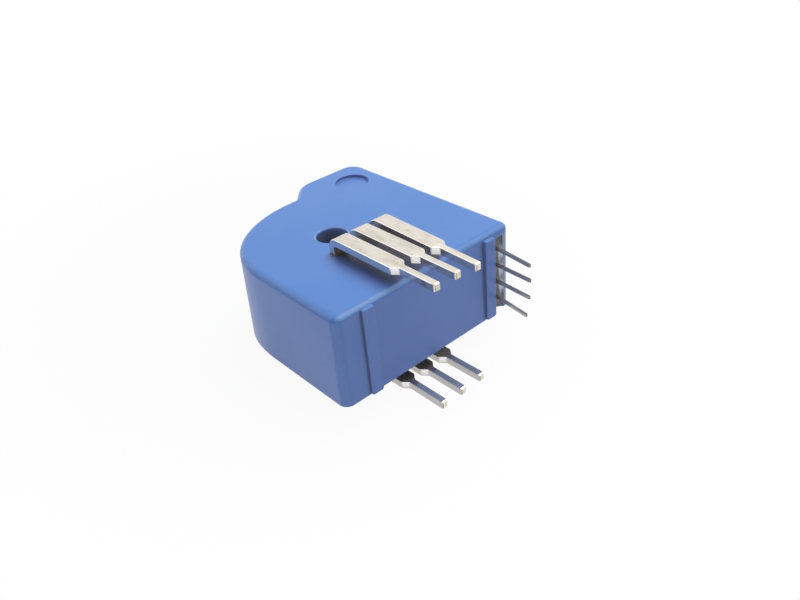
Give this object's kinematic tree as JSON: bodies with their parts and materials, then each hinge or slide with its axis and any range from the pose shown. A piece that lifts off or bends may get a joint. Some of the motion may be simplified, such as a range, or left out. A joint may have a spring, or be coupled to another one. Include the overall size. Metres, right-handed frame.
{
  "type": "hall effect current sensor",
  "caption": "Board-mounted closed-loop current sensor: D-shaped blue case round a magnetic core, with flat U-shaped primary bars, thin secondary pins and a through hole for one more conductor.",
  "frame": {"origin": "middle of the left stand-off rib's outer face, where the part sits on the circuit board", "axes": "+X along the base towards the secondary pins, +Y away from the circuit board, +Z out of the front face; the part lies on its back"},
  "size_m": [0.0225, 0.0297, 0.0138],
  "materials": {
    "blue_case": "satin moulded PBT",
    "potting_resin": "glossy cast resin",
    "tinned_copper": "bright tin plate on copper strip",
    "pin_metal": "dull tin plate",
    "core_metal": "dark magnetic alloy",
    "core_case": "natural moulded plastic",
    "winding_copper": "enamelled copper wire",
    "chip_black": "black moulding compound",
    "board_laminate": "green solder mask",
    "capacitor_orange": "moulded case",
    "resistor_ceramic": "glazed ceramic chip"
  },
  "bodies": {
    "root": {"housing": "blue_case", "potting_resin": "potting_resin", "primary_bar_1": "tinned_copper", "primary_bar_2": "tinned_copper", "primary_bar_3": "tinned_copper", "secondary_pin_1": "pin_metal", "secondary_pin_2": "pin_metal", "secondary_pin_3": "pin_metal", "secondary_pin_4": "pin_metal", "magnetic_core": "core_metal", "core_case_front": "core_case", "core_case_back": "core_case", "compensation_winding": "winding_copper", "winding_lead_1": "winding_copper", "winding_lead_2": "winding_copper", "hall_element": "chip_black", "circuit_board": "board_laminate", "amplifier_chip": "chip_black", "output_transistor_1": "chip_black", "output_transistor_2": "chip_black", "supply_capacitor": "capacitor_orange", "measuring_resistor_1": "resistor_ceramic", "measuring_resistor_2": "resistor_ceramic", "measuring_resistor_3": "resistor_ceramic"}
  },
  "joints": []
}
